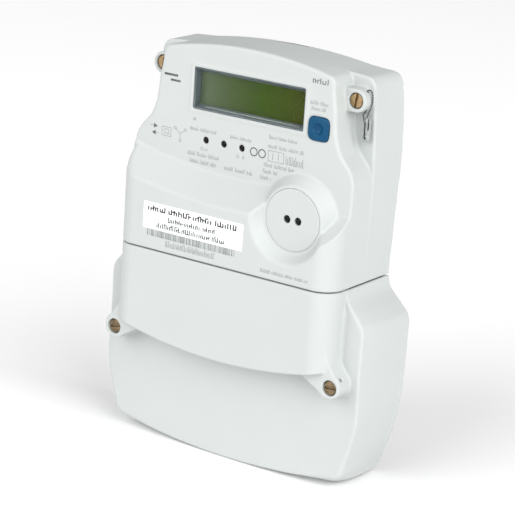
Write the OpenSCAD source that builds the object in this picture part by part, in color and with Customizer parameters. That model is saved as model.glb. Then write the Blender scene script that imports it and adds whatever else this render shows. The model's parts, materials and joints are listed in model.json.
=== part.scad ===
// Wall-mounted static electricity meter with a lift-off terminal cover.
// Frame: X to the right, Y into the wall, Z up. The wall face is the plane Y = 0 and the
// optical port's centre is at Z = 0. A depth is a distance out of the wall, along -Y.

/* [Case] */
// Width of the case at the parting line
case_w = 135; // [130:1:138]
// Height of the case's top edge above the optical port, at the back
case_top = 77.4; // [76:0.1:79]
// Radius of the arched top edge at the back
case_top_r = 300; // [250:1:600]
// Height of the front panel's arched top edge
panel_top = 79.1; // [78:0.1:80]
// Radius of the front panel's arched top edge
panel_top_r = 220; // [200:1:400]
// Height of the parting line between the case and the terminal cover
parting_z = -31.5; // [-33:0.1:-30]
// Gap that the parting line shows
parting_gap = 0.8; // [0.4:0.1:1]
// Wall thickness of the mouldings
wall = 2.2; // [1.8:0.1:2.4]

/* [Depths out of the wall] */
// Depth of the lower front face and of the terminal cover's front block
face_depth = 56.3; // [56:0.1:57]
// Depth of the optical port's disc
port_depth = 50.3; // [49:0.1:51]
// Depth of the upper front panel
panel_depth = 42.3; // [42:0.1:43]
// Depth of the terminal cover's lower front face
skirt_depth = 40.9; // [40:0.1:41.5]
// Depth of the shoulders beside the upper panel
shoulder_depth = 25.3; // [25:0.1:26]
// Radius of the vertical front edges
corner_r = 11.8; // [10:0.1:13]

/* [Optical port] */
// Distance of the port from the middle of the case
port_x = 38.5; // [37:0.1:40]
// Radius of the port's disc
port_disc_r = 15.85; // [15:0.05:16]
// Radius of the land around the disc
port_land_r = 17.3; // [17:0.1:18]
// Radius of the port's recess in the lower front face
port_recess_r = 21.6; // [20:0.1:23]
// Radius of the port's raised foot on the upper panel
port_foot_r = 22.2; // [20:0.1:23]
// Distance between the port's transmitter and receiver
eye_pitch = 6.5; // [6:0.1:7]
// Radius of the port's two eyes
eye_r = 2.0; // [1.5:0.1:2.2]

/* [Display, button and lamps] */
// Middle of the display window, X and Z
window_at = [2, 54.2];
// Display window, width and height
window_size = [67.7, 21.7];
// Middle of the button, X and Z
button_at = [45.3, 46.3];
// Width and height of the button
button_w = 12.9; // [11:0.1:13.2]
// Travel of the button
button_travel = 1.2; // [0.5:0.1:1.4]
// First lamp, X and Z
lamp_at = [-22.5, 28.2];
// Distance between lamps
lamp_pitch = 11.2; // [8:0.1:12]
// Radius of a lamp's light pipe
lamp_r = 1.7; // [1:0.1:2]

/* [Terminal cover] */
// Lowest point of the terminal cover
cover_bottom = -139; // [-142:0.5:-136]
// Radius of the lower front face's bottom edge
cover_bottom_r = 375; // [300:1:500]
// Radius of the bottom edge at the wall
cover_wall_r = 1500; // [1000:10:3000]
// Widest half width at the wall
skirt_back = 82; // [81:0.1:82.5]
// Widest half width at the lower front face
skirt_front = 80; // [78.5:0.1:81]
// Lowest point of the front block
block_bottom = -81.5; // [-84:0.1:-79]
// Radius of the front block's lower edge
block_bottom_r = 260; // [200:1:400]
// Cover sealing screw, X and Z
cover_screw_at = [68.2, -80.4];
// Radius of the screw's lug
lug_r = 5.9; // [5.5:0.1:6.2]
// Depth of the lug's face
lug_depth = 51.5; // [51:0.1:53]

/* [Screws] */
// Case sealing screw, X and Z
case_screw_at = [59, 61.6];
// Radius of the boss around a case screw
boss_r = 5.9; // [5.5:0.1:6.4]
// Depth of the boss's face
boss_depth = 33; // [32:0.1:34]
// Radius of a sealing screw's head
head_r = 3.7; // [3:0.1:3.8]
// Radius of a sealing screw's shank
shank_r = 2.1; // [1.5:0.05:2.2]

/* [Terminals] */
// Distance between main terminals
terminal_pitch = 14; // [13:0.5:14]
// Radius of a main terminal's cable bore
cable_r = 4.25; // [3:0.05:4.5]
// Bottom and top of the terminal block
block_z = [-88, -35];
// Depth of the terminal block's face
block_depth = 34; // [33:0.5:35]

/* [Wall fixing] */
// Lower fixing hole, X and Z
fixing_at = [75, -88];
// Radius of the fixing holes
fixing_r = 2.5; // [2:0.05:2.5]
// Height of the hanger's hole when the hanger is down
hanger_hole_z = 70; // [68:0.5:71]

/* [Hidden] */
$fn = 64;

// Fine facets for the long, shallow arcs.
arc_fn = 240;
// Room left around a piece that is set into a moulding.
slip = 0.1;
// Extra length that lets a cut run clear through a face.
over = 1;
case_half = case_w / 2;
case_z = parting_z + parting_gap / 2;
cover_z = parting_z - parting_gap / 2;
inner_z = case_z + wall;
sides = [-1, 1];

// The smile-shaped ramp between the upper panel and the lower face.
smile_z = 11.9;
smile_r = 263.5;
smile_drop = 12.4;
smile_step = 14.4;

// Upper corner of the case's back outline, and the small corner of the front panel.
case_corner = [60.4, 67.2];
case_corner_r = 6.1;
panel_corner = [47.6, 69.2];
panel_corner_r = 4.6;

// Depths of the pieces inside the case.
base_t = 3;
ledge_depth = 4.2;
ledge_t = 1.8;
board_back = 27.8;
board_front = 29.4;
board_half = 48.5;
board_z = [-8, 71];
post_at = [44, [4, 66]];
floor_front = 33.6;
panel_inside = panel_depth - wall;

// Display stack, from the lens back to the board.
lens_back = 41.3;
lip_back = 38.6;
bezel_back = 36.6;
glass_back = 34.2;
light_back = 31.6;
bezel_rim = 0.7;
view_z = [45.2, 62];
glass_size = [69.4, 22.4];
lip_size = [70.4, 25.5];
light_size = [64, 15];

// Terminals.
first_terminal = -3.5 * terminal_pitch;
cage_w = 11;
cage_z = [-80, -50];
cage_depth = [9.2, 20.2];
cable_depth = 14.7;
strap_w = 5;
strap_depth = [14, 16];
bridge_z = -14;
tab_top = -4;
clamp_screw_z = [-73, -60];
aux_x = [-35, -21, -7, 7, 21, 35];
aux_z = -42;

// Sealing screws.
recess_r = head_r + 0.2;
head_t = 3;
case_recess = 29.4;
cover_recess = 47.6;
insert_r = 3;
post_r = 4.5;
post_depth = 20;
seal_hole_r = 0.6;
seal_hole_at = [62.4, 28];
wire_r = 0.5;

// Hanger.
hanger_half = 10;
hanger_depth = [0.7, 2.6];
hanger_foot = 44;

function arch(x, top, r) = top - (r - sqrt(r * r - x * x));
function both_sides(pts) =
    concat(pts, [for (i = [len(pts) - 1 : -1 : 0]) [-pts[i][0], pts[i][1]]]);
function arc(c, r, from, to, steps) =
    [for (i = [0 : steps]) let (a = from + (to - from) * i / steps)
        [c[0] + r * cos(a), c[1] + r * sin(a)]];

// The case's outline seen from the front, drawn in by t, down to z0.
function case_outline(t, z0) = both_sides(concat(
    [[case_half - t, z0], [case_half + 0.9 - t, 8], [case_half + 1.5 - t, 26],
     [case_half + 1 - t, 46], [case_half - 0.1 - t, 60]],
    arc(case_corner, case_corner_r - t, -5, 82, 5),
    [for (x = [48 : -12 : 0]) [x, arch(x, case_top, case_top_r) - t]]));

// The upper panel's outline with its necked shoulders, drawn in by t, down to z0.
function panel_outline(t, z0) = both_sides(concat(
    [[case_half - 0.1 - t, z0], [case_half - 0.1 - t, 24.5 - 0.4 * t],
     [66.4 - 0.95 * t, 27.3 - 0.6 * t], [58.6 - 0.75 * t, 35.4 - 0.7 * t],
     [57.3 - 0.9 * t, 37.8 - 0.45 * t], [56.6 - t, 41 - 0.2 * t], [52.2 - t, 69]],
    arc(panel_corner, panel_corner_r - t, 5, 80, 4),
    [for (x = [40 : -8 : 0]) [x, arch(x, panel_top, panel_top_r) - t]]));

// The lower face's plan, with its two rounded front edges, drawn in by t.
function face_plan(t, back) = both_sides(concat(
    [[case_half - 0.1 - t, -back]],
    arc([case_half - 0.1 - corner_r, corner_r - face_depth], corner_r - t, 0, -90, 10)));

// The skirt's outline below its flare, with half width w at its widest, drawn in by t.
// Each step gives how far the side has come in at a height.
function skirt_outline(w, t, steps, corner, corner_r, bottom_r) = both_sides(concat(
    [[w - 0.2 - t, -50.5], [w - t, -53], [w - t, -72]],
    [for (p = steps) [w - p[0] - t, p[1]]],
    arc([w - corner[0], corner[1]], corner_r - t, -15, -78, 4),
    [for (x = [48 : -16 : 0]) [x, -arch(x, -cover_bottom, bottom_r) + t]]));

function skirt_at_wall(t) = skirt_outline(skirt_back, t,
    [[0.6, -92], [2.4, -106], [4.9, -117], [8.6, -127], [10.8, -132]],
    [16, -133.6], 4, cover_wall_r);

function skirt_at_face(t) = skirt_outline(skirt_front, t,
    [[0.5, -92], [1.4, -104], [2.6, -111], [4.4, -117.7], [7, -126]],
    [14, -127.5], 5.6, cover_bottom_r);

// The flare from the case's width to the skirt's.
function flare_outline(w, t) = both_sides(
    [[case_half - t, cover_z], [case_half - t, -38.6], [w - 3.6 - t, -46.8],
     [w - 0.2 - t, -50.5], [w - t, -53]]);

// Extrudes a front-view outline between two depths.
module layer(from, to) {
    translate([0, -from, 0]) rotate([90, 0, 0]) linear_extrude(to - from) children();
}

// A round peg, or a cone if r2 differs, along the depth at x, z.
module peg(x, z, r, from, to, r2 = undef) {
    translate([x, -from, z]) rotate([90, 0, 0])
        cylinder(h = to - from, r1 = r, r2 = is_undef(r2) ? r : r2);
}

// A box given by its X range, its depth range and its Z range.
module block(x, depth, z) {
    translate([x[0], -depth[1], z[0]]) cube([x[1] - x[0], depth[1] - depth[0], z[1] - z[0]]);
}

// A square with round corners, seen from the front.
module soft_square(w, r) {
    for (sx = sides, sz = sides)
        translate([sx * (w / 2 - r), sz * (w / 2 - r)]) circle(r);
    square([w, w - 2 * r], center = true);
    square([w - 2 * r, w], center = true);
}

module centred_box(at, size, from, to) {
    block([at[0] - size[0] / 2, at[0] + size[0] / 2], [from, to],
          [at[1] - size[1] / 2, at[1] + size[1] / 2]);
}

// What lies above the ramp; t lifts it for the inside of the wall.
module above_ramp(t = 0) {
    grow = smile_drop / (face_depth - panel_depth);
    near = panel_depth - 4;
    far = face_depth + 2;
    for (i = [0, 1])
        intersection() {
            translate([0, -near, smile_z + smile_r - i * smile_step])
                rotate([90, 0, 0])
                    cylinder(h = far - near, r1 = smile_r + t + (near - panel_depth) * grow,
                             r2 = smile_r + t + (far - panel_depth) * grow, $fn = arc_fn);
            block([i == 0 ? -case_w : port_x, case_w], [near - over, far + over], [-60, 60]);
        }
}

module screw_boss() {
    for (s = sides) {
        peg(s * case_screw_at[0], case_screw_at[1], boss_r, shoulder_depth - over, boss_depth);
        block(s > 0 ? [50.5, case_screw_at[0]] : [-case_screw_at[0], -50.5],
              [shoulder_depth - over, boss_depth],
              [case_screw_at[1] - boss_r, case_screw_at[1] + boss_r]);
    }
}

// The outside of the case cover.
module case_body() {
    layer(0.3, shoulder_depth) polygon(case_outline(0, case_z));
    layer(shoulder_depth - over, panel_depth) polygon(panel_outline(0, case_z));
    difference() {
        translate([0, 0, case_z]) linear_extrude(60) polygon(face_plan(0, shoulder_depth));
        above_ramp();
        peg(port_x, 0, port_land_r, port_depth, face_depth + 2,
            port_recess_r + 2 * (port_recess_r - port_land_r) / (face_depth - port_depth));
    }
    peg(port_x, 0, port_foot_r, panel_depth, port_depth, port_land_r);
    screw_boss();
}

// The hollow inside the lower face, kept clear of the port's walls.
module face_hollow() {
    difference() {
        translate([0, 0, inner_z]) linear_extrude(50)
            polygon(face_plan(wall, panel_inside - over));
        above_ramp(t = wall * 1.5);
        peg(port_x, 0, port_recess_r + wall, port_depth - 5.2, face_depth);
    }
}

// Room in the cover and the gasket for the base's two upper posts.
module post_room() {
    for (s = sides)
        peg(s * case_screw_at[0], case_screw_at[1], post_r + 0.4, -over, post_depth);
}

// The hollow inside the case cover.
module case_hollow() {
    below = case_z - over;
    layer(-over, ledge_depth) polygon(case_outline(wall, below));
    layer(ledge_depth - over, ledge_depth + ledge_t + over) polygon(case_outline(2 * wall, below));
    layer(ledge_depth + ledge_t, shoulder_depth - wall) polygon(case_outline(wall, below));
    layer(shoulder_depth - wall - over, floor_front + 0.4) polygon(panel_outline(wall, below));
    layer(floor_front, panel_inside) polygon(panel_outline(wall, inner_z));
    face_hollow();
    peg(port_x, 0, port_foot_r - 7.7, panel_inside - over, port_depth - 5.2);
    post_room();
}

// Everything that is cut through the case cover's skin.
module case_cuts() {
    centred_box(window_at, window_size, panel_inside - over, panel_depth + over);
    for (i = [0 : 2])
        peg(lamp_at[0] + i * lamp_pitch, lamp_at[1], lamp_r + 0.1,
            panel_inside - over, panel_depth + over);
    translate([button_at[0], 0, button_at[1]])
        layer(panel_inside - over, panel_depth + over) soft_square(button_w + 0.4, 3.4);
    peg(port_x, 0, port_disc_r + slip, port_depth - 3.2, port_depth + over);
    for (s = sides)
        peg(port_x + s * eye_pitch / 2, 0, 2.7, port_depth - 5.2 - over, port_depth - 3);
    for (s = sides) {
        peg(s * case_screw_at[0], case_screw_at[1], recess_r, case_recess, boss_depth + over);
        peg(s * case_screw_at[0], case_screw_at[1], shank_r + 0.05,
            shoulder_depth - wall - over, case_recess + over);
        translate([s * seal_hole_at[0], -seal_hole_at[1], case_screw_at[1] - boss_r - over])
            cylinder(h = 2 * boss_r + 2 * over, r = seal_hole_r);
    }
    block([-hanger_half - 0.4, hanger_half + 0.4], [-over, 3], [68, 80]);
}

module case_cover() {
    color("whitesmoke") difference() {
        case_body();
        case_hollow();
        case_cuts();
    }
}

// The base's back plate with its lower ears.
module base_plate() {
    ear_x = 78.2;
    layer(0, base_t) {
        polygon(case_outline(wall + 0.3, case_z));
        polygon(both_sides([[64, block_z[0] - 8], [ear_x, -94], [ear_x, -80], [73.5, -74],
                            [64, -70]]));
    }
    half = case_half - wall - 0.3;
    block([-half, half], [0, base_t], [-60, case_z + over]);
    block([-64, 64], [0, base_t], [-71, -35]);
}

module rear_base() {
    color("gainsboro") difference() {
        union() {
            base_plate();
            block([-62.8, 62.8], [0, floor_front], [case_z, inner_z]);
            block([-62, 62], [0, cage_depth[0] - 0.2], [block_z[0] - 2, block_z[1] + 1]);
            block([-14, 14], [0, 5.2], [38, 72.4]);
            for (s = sides) {
                for (z = post_at[1])
                    peg(s * post_at[0], z, 3.5, base_t - over, board_back);
                peg(s * case_screw_at[0], case_screw_at[1], post_r, base_t - over, post_depth);
                peg(s * cover_screw_at[0], cover_screw_at[1], 5, base_t - over, block_depth);
            }
        }
        block([-59, 59], [-over, cage_depth[0] - 3], [block_z[0] + 1, block_z[1] - 2]);
        for (i = [0 : 7])
            block([terminal_x(i) - 3.2, terminal_x(i) + 3.2], [12.6, 17.4],
                  [case_z - over, inner_z + over]);
        block([-hanger_half - 0.3, hanger_half + 0.3], [0.5, base_t + over], [hanger_foot - 1, 80]);
        block([-8.3, 8.3], [-over, 1], [hanger_foot - 1, 80]);
        for (s = sides) {
            peg(s * fixing_at[0], fixing_at[1], fixing_r, -over, base_t + over);
            peg(s * case_screw_at[0], case_screw_at[1], insert_r, 12, post_depth + over);
            peg(s * cover_screw_at[0], cover_screw_at[1], insert_r, 24, block_depth + over);
            for (z = post_at[1])
                peg(s * post_at[0], z, 1.25, 17, board_back + over);
        }
    }
}

module case_gasket() {
    color("dimgray") difference() {
        layer(base_t + 0.02, ledge_depth - 0.1) polygon(case_outline(wall + 0.4, inner_z + 0.2));
        layer(base_t - over, ledge_depth + over)
            polygon(case_outline(2 * wall - 0.2, inner_z + 1.6));
        post_room();
    }
}

module window_lens() {
    color("white", 0.35)
        centred_box(window_at, window_size - [0.2, 0.2], lens_back, panel_depth - 0.15);
}

// A frame whose opening narrows in height from the window down to the glass.
module display_bezel() {
    front = lens_back - 0.02;
    half_x = window_size[0] / 2 - bezel_rim;
    half_z = window_size[1] / 2 - bezel_rim;
    color("slategray") difference() {
        union() {
            centred_box(window_at, window_size - [0.2, 0.2], bezel_back, front);
            centred_box(window_at, lip_size, lip_back, panel_inside - 0.05);
        }
        translate([window_at[0] - half_x, 0, 0]) rotate([90, 0, 90])
            linear_extrude(2 * half_x)
                polygon([[-front - 0.01, window_at[1] - half_z],
                         [-front - 0.01, window_at[1] + half_z],
                         [-bezel_back + 0.01, view_z[1]], [-bezel_back + 0.01, view_z[0]]]);
    }
}

module display_glass() {
    color("olivedrab") centred_box(window_at, glass_size, glass_back, bezel_back - 0.05);
}

module display_backlight() {
    color("honeydew") centred_box(window_at, light_size, light_back, glass_back - 0.05);
}

module display_contacts() {
    color("pink") for (s = sides)
        centred_box([window_at[0], window_at[1] + s * 9.8], [60, 2], board_front + 0.02,
                    glass_back - 0.05);
}

module main_board() {
    color("seagreen") difference() {
        block([-board_half, board_half], [board_back, board_front], board_z);
        for (s = sides, z = post_at[1])
            peg(s * post_at[0], z, 1.7, board_back - over, board_front + over);
    }
}

module board_screws() {
    color("silver") for (s = sides, z = post_at[1]) {
        peg(s * post_at[0], z, 1.2, 18, board_front + 0.5);
        difference() {
            peg(s * post_at[0], z, 2.8, board_front + 0.02, board_front + 2);
            centred_box([s * post_at[0], z], [4, 0.8], board_front + 1.2, board_front + 3);
            centred_box([s * post_at[0], z], [0.8, 4], board_front + 1.2, board_front + 3);
        }
    }
}

// A chip with its two rows of leads.
module chip(at, w, t) {
    color("black") union() {
        centred_box(at, [w, w], board_front + 0.2, board_front + t);
        for (s = sides, i = [-3 : 3])
            centred_box([at[0] + i * w / 8, at[1] + s * w / 2], [0.5, 2.4],
                        board_front + 0.02, board_front + 0.4);
    }
}

module metering_chip() { chip([-22, 12], 12, 1.8); }
module control_chip() { chip([8, 12], 14, 1.8); }

module supply_capacitor(i) {
    x = -28 + 28 * i;
    color("goldenrod") union() {
        centred_box([x, 24], [18, 12], board_back - 15.4, board_back - 0.4);
        for (s = sides)
            peg(x + s * 7.5, 24, 0.4, board_back - 1, board_back - 0.02);
    }
}

module buffer_capacitor() {
    color("darkslateblue") union() {
        peg(-32, 50, 8, board_back - 18, board_back - 0.5);
        for (s = sides)
            peg(-32 + s * 3.75, 50, 0.4, board_back - 1, board_back - 0.02);
    }
}

module surge_absorbers() {
    color("royalblue") for (x = [-28, 0, 28]) {
        translate([x, -board_back + 8.2, 8]) cylinder(h = 4, r = 6);
        for (s = sides)
            peg(x + s * 3.5, 10, 0.4, board_back - 6, board_back - 0.02);
    }
}

module button_switch() {
    color("dimgray") union() {
        centred_box(button_at, [6, 6], board_front + 0.02, board_front + 2.4);
        peg(button_at[0], button_at[1], 1.75, board_front + 2, board_front + 2.9);
    }
}

module display_button() {
    front = panel_depth + 1.2;
    color("steelblue") translate([button_at[0], 0, button_at[1]]) difference() {
        union() {
            layer(panel_inside - 0.3, front) soft_square(button_w, 3.2);
            layer(panel_inside - 1.5, panel_inside - 0.1) soft_square(button_w + 1.4, 3.4);
            peg(0, 0, 2, board_front + 2.9 + button_travel + 0.1, panel_inside - 1);
        }
        translate([0, -front - 11.4, 0]) sphere(12.2);
    }
}

module test_lamp(i) {
    x = lamp_at[0] + i * lamp_pitch;
    color("#202020") union() {
        peg(x, lamp_at[1], lamp_r, board_front + 1.4, panel_depth - 0.3);
        peg(x, lamp_at[1], 2.6, board_front + 0.02, board_front + 2);
    }
}

module port_disc() {
    color("whitesmoke") difference() {
        peg(port_x, 0, port_disc_r, port_depth - 2, port_depth);
        for (s = sides)
            peg(port_x + s * eye_pitch / 2, 0, eye_r + 0.05, port_depth - 3, port_depth + over);
    }
}

module port_plate() {
    color("silver") difference() {
        peg(port_x, 0, port_disc_r - 0.4, port_depth - 3.15, port_depth - 2.05);
        for (s = sides)
            peg(port_x + s * eye_pitch / 2, 0, 2.7, port_depth - 4, port_depth);
    }
}

// A light-emitting or light-sensing part behind one eye of the port.
module port_eye(s) {
    x = port_x + s * eye_pitch / 2;
    color("#181818") union() {
        peg(x, 0, eye_r, port_depth - 4, port_depth - 0.3);
        peg(x, 0, 2.5, port_depth - 11, port_depth - 2.3);
        for (k = sides)
            peg(x, k * 1.27, 0.3, board_front + 0.02, port_depth - 10);
    }
}

function terminal_x(i) = first_terminal + i * terminal_pitch;

// Two brass cages and the copper strap that bridges them; i is the pair's number.
module conductor(i) {
    xs = [terminal_x(2 * i), terminal_x(2 * i + 1)];
    color("peru") difference() {
        union() {
            for (x = xs) {
                block([x - cage_w / 2, x + cage_w / 2], cage_depth, cage_z);
                block([x - strap_w / 2, x + strap_w / 2], strap_depth,
                      [cage_z[1] - over, bridge_z + strap_w / 2]);
            }
            block([xs[0] - strap_w / 2, xs[1] + strap_w / 2], strap_depth,
                  [bridge_z - strap_w / 2, bridge_z + strap_w / 2]);
            block([xs[0] - strap_w / 2, xs[0] + strap_w / 2], strap_depth,
                  [bridge_z, tab_top]);
        }
        for (x = xs) {
            translate([x, -cable_depth, cage_z[0] - over])
                cylinder(h = cage_z[1] - cage_z[0] - 2, r = cable_r);
            for (z = clamp_screw_z)
                peg(x, z, 2.5, cable_depth, cage_depth[1] + over);
        }
    }
}

module current_sensor(i) {
    x = (terminal_x(2 * i) + terminal_x(2 * i + 1)) / 2;
    depth = (strap_depth[0] + strap_depth[1]) / 2;
    color("darkblue") difference() {
        union() {
            translate([x - 4, -depth, bridge_z]) rotate([0, 90, 0]) cylinder(h = 8, r = 8.5);
            for (s = sides)
                peg(x + s * 2, -6.6, 0.4, 18, board_back - 0.02);
        }
        translate([x - 5, -depth, bridge_z]) rotate([0, 90, 0]) cylinder(h = 10, r = 3.4);
    }
}

module voltage_pins() {
    color("gold") for (i = [0 : 3])
        peg(terminal_x(2 * i), -5.6, 0.7, strap_depth[1] + 0.02, board_back - 0.02);
}

module terminal_block() {
    color("lightgray") difference() {
        block([-61.5, 61.5], [cage_depth[0] - 0.1, block_depth], block_z);
        for (i = [0 : 7]) {
            x = terminal_x(i);
            block([x - cage_w / 2 - slip, x + cage_w / 2 + slip],
                  [cage_depth[0] - over, cage_depth[1] + slip],
                  [cage_z[0] - slip, cage_z[1] + slip]);
            translate([x, -cable_depth, block_z[0] - over])
                cylinder(h = cage_z[0] - block_z[0] + 1.5, r = cable_r + 0.75);
            block([x - strap_w / 2 - 0.3, x + strap_w / 2 + 0.3],
                  [strap_depth[0] - 0.3, strap_depth[1] + 0.3],
                  [cage_z[1], block_z[1] + over]);
            for (z = clamp_screw_z)
                peg(x, z, 4.3, cage_depth[1], block_depth + over);
        }
        for (x = aux_x)
            centred_box([x, aux_z], [6.4, 8.4], 23.9, block_depth + over);
    }
}

// A slotted screw head, seen from the front.
module slotted_head(x, z, r, from, to, slot) {
    difference() {
        peg(x, z, r, from, to);
        translate([x, 0, z]) rotate([0, 75, 0])
            centred_box([0, 0], [2 * r + 1, slot], to - slot, to + over);
    }
}

module terminal_screws() {
    color("silver") for (i = [0 : 7], z = clamp_screw_z) {
        peg(terminal_x(i), z, 2.45, cable_depth + cable_r + 0.1, 26);
        slotted_head(terminal_x(i), z, 3.9, 25.5, 30, 1.1);
    }
}

module auxiliary_terminals() {
    color("peru") for (x = aux_x) difference() {
        centred_box([x, aux_z], [6.2, 8.2], 24, 30);
        peg(x, aux_z + 1.5, 1.25, 23, 31);
        translate([x, -27, aux_z - 5]) cylinder(h = 5, r = 1.3);
    }
}

module auxiliary_screws() {
    color("silver") for (x = aux_x) {
        peg(x, aux_z + 1.5, 1.2, 26, 31.5);
        slotted_head(x, aux_z + 1.5, 2.2, 31, 33, 0.6);
    }
}

module sealing_screw(x, z, seat, tip) {
    color("darkgoldenrod") union() {
        peg(x, z, shank_r, tip, seat + 0.5);
        slotted_head(x, z, head_r, seat + 0.1, seat + 0.1 + head_t, 1.2);
    }
}

module case_screws() {
    for (s = sides)
        sealing_screw(s * case_screw_at[0], case_screw_at[1], case_recess, 13);
}

module insert(x, z, from, to) {
    color("goldenrod") difference() {
        peg(x, z, insert_r, from, to);
        peg(x, z, shank_r + 0.05, from - over, to + over);
    }
}

module case_inserts() {
    for (s = sides) insert(s * case_screw_at[0], case_screw_at[1], 12, post_depth);
}

module cover_inserts() {
    for (s = sides) insert(s * cover_screw_at[0], cover_screw_at[1], 24, block_depth);
}

// A tapered slab between the wall outline and the front outline.
module tapered(back, front, from, to) {
    hull() {
        layer(from, from + 0.01) polygon(back);
        layer(to - 0.01, to) polygon(front);
    }
}

// What lies above the front block's curved lower edge; t lifts it for the inside.
module above_block_edge(t = 0) {
    translate([0, -skirt_depth + 6, block_bottom + block_bottom_r])
        rotate([90, 0, 0]) cylinder(h = 30, r = block_bottom_r - t, $fn = arc_fn);
}

// The lug that holds a cover screw, at the right for s = 1 and at the left for s = -1.
module lug(s) {
    layer(skirt_depth - wall, lug_depth) {
        polygon([for (p = [[45, -73], [65.1, -85.4], [73.1, -77.1], [62, -60.8]])
                 [s * p[0], p[1]]]);
        translate([s * cover_screw_at[0], cover_screw_at[1]]) circle(lug_r);
    }
}

module cover_body() {
    tapered(skirt_at_wall(0), skirt_at_face(0), 0.3, skirt_depth);
    tapered(flare_outline(skirt_back, 0), flare_outline(skirt_front, 0), 0.3, skirt_depth);
    intersection() {
        translate([0, 0, -100]) linear_extrude(100 + cover_z)
            polygon(face_plan(0, skirt_depth - wall));
        above_block_edge();
    }
    for (s = sides) lug(s);
}

module cover_hollow() {
    inside = skirt_depth - wall;
    tapered(skirt_at_wall(wall), skirt_at_face(wall), -over, inside);
    difference() {
        tapered(flare_outline(skirt_back, wall), flare_outline(skirt_front, wall), -over, inside);
        block([-100, 100], [36, 60], [cover_z - wall, cover_z + over]);
    }
    block([-65.3, 65.3], [-over, 36], [-45, cover_z + over]);
    intersection() {
        translate([0, 0, -100]) linear_extrude(100 + cover_z - wall)
            polygon(face_plan(wall, inside - over));
        above_block_edge(wall);
    }
}

module terminal_cover() {
    color("whitesmoke") difference() {
        union() {
            difference() {
                cover_body();
                cover_hollow();
                block([-62, 62], [-over, 30], [cover_bottom - 10, cover_bottom + 12]);
            }
            for (s = sides) intersection() {
                lug(s);
                peg(s * cover_screw_at[0], cover_screw_at[1], lug_r + 3, 38, 60);
            }
        }
        for (s = sides) {
            peg(s * cover_screw_at[0], cover_screw_at[1], recess_r, cover_recess, 60);
            peg(s * cover_screw_at[0], cover_screw_at[1], shank_r + 0.05, 30, 50);
            translate([s * 71.9, -47.8, -76.2]) rotate([0, s * 55.8, 0])
                cylinder(h = 6, r = 0.8, center = true);
        }
    }
}

module cover_screw(s) {
    sealing_screw(s * cover_screw_at[0], cover_screw_at[1], cover_recess, 26);
}

module rating_sticker() {
    color("white") block([-48.9, 13.9], [face_depth + 0.01, face_depth + 0.16], [-20.3, -6.1]);
}

// A straight piece of wire between two points.
module rod(p, q, r) {
    d = q - p;
    length = norm(d);
    translate(p) rotate([0, acos(d[2] / length), atan2(d[1], d[0])]) cylinder(h = length, r = r);
}

module seal_wire() {
    y = -seal_hole_at[1];
    x = seal_hole_at[0];
    loop = 3.5;
    top = 66;
    low = 60;
    color("silver") union() {
        rod([x, y, 51], [x, y, top], wire_r);
        rod([x + loop, y, low - 0.1], [x + loop, y, top], wire_r);
        rod([x + loop, y, low], [x + loop - 2, y, 51], wire_r);
        intersection() {
            translate([x + loop / 2, y, top]) rotate([90, 0, 0])
                rotate_extrude($fn = 48) translate([loop / 2, 0]) circle(wire_r, $fn = 24);
            translate([x - 2, y - 2, top]) cube([8, 4, 4]);
        }
    }
}

module seal_crimp() {
    y = -seal_hole_at[1];
    color("gainsboro") difference() {
        translate([61.5, y - 1.3, 41]) cube([4.4, 2.6, 12.4]);
        for (s = sides) {
            translate([63.7, y + s * 2, 44.5]) rotate([0, 90, 0])
                cylinder(h = 6, r = 1, center = true);
            translate([63.7, y + s * 2, 49]) rotate([0, 90, 0])
                cylinder(h = 6, r = 1, center = true);
        }
    }
}

module wall_hanger() {
    color("darkgray") difference() {
        intersection() {
            block([-hanger_half, hanger_half], hanger_depth, [hanger_foot, 80]);
            layer(0, 4) polygon(case_outline(0.1, 0));
        }
        peg(0, hanger_hole_z, fixing_r, 0, 4);
    }
}

rear_base();
case_cover();
case_gasket();
window_lens();
display_bezel();
display_glass();
display_backlight();
display_contacts();
main_board();
board_screws();
metering_chip();
control_chip();
supply_capacitor(0);  // supply_capacitor_1
supply_capacitor(1);  // supply_capacitor_2
supply_capacitor(2);  // supply_capacitor_3
buffer_capacitor();
surge_absorbers();
button_switch();
display_button();
test_lamp(0);  // test_lamp_1
test_lamp(1);  // test_lamp_2
test_lamp(2);  // test_lamp_3
port_disc();
port_plate();
port_eye(-1);  // port_emitter
port_eye(1);  // port_receiver
current_sensor(0);  // current_sensor_1
current_sensor(1);  // current_sensor_2
current_sensor(2);  // current_sensor_3
conductor(0);  // phase_conductor_1
conductor(1);  // phase_conductor_2
conductor(2);  // phase_conductor_3
conductor(3);  // neutral_conductor
voltage_pins();
terminal_block();
terminal_screws();
auxiliary_terminals();
auxiliary_screws();
case_screws();
case_inserts();
cover_inserts();
terminal_cover();
cover_screw(-1);  // cover_screw_left
cover_screw(1);  // cover_screw_right
rating_sticker();
seal_wire();
seal_crimp();
wall_hanger();
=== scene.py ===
import json
import math
import random

import bmesh
import bpy
import numpy as np
from mathutils import Matrix, Vector


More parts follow.
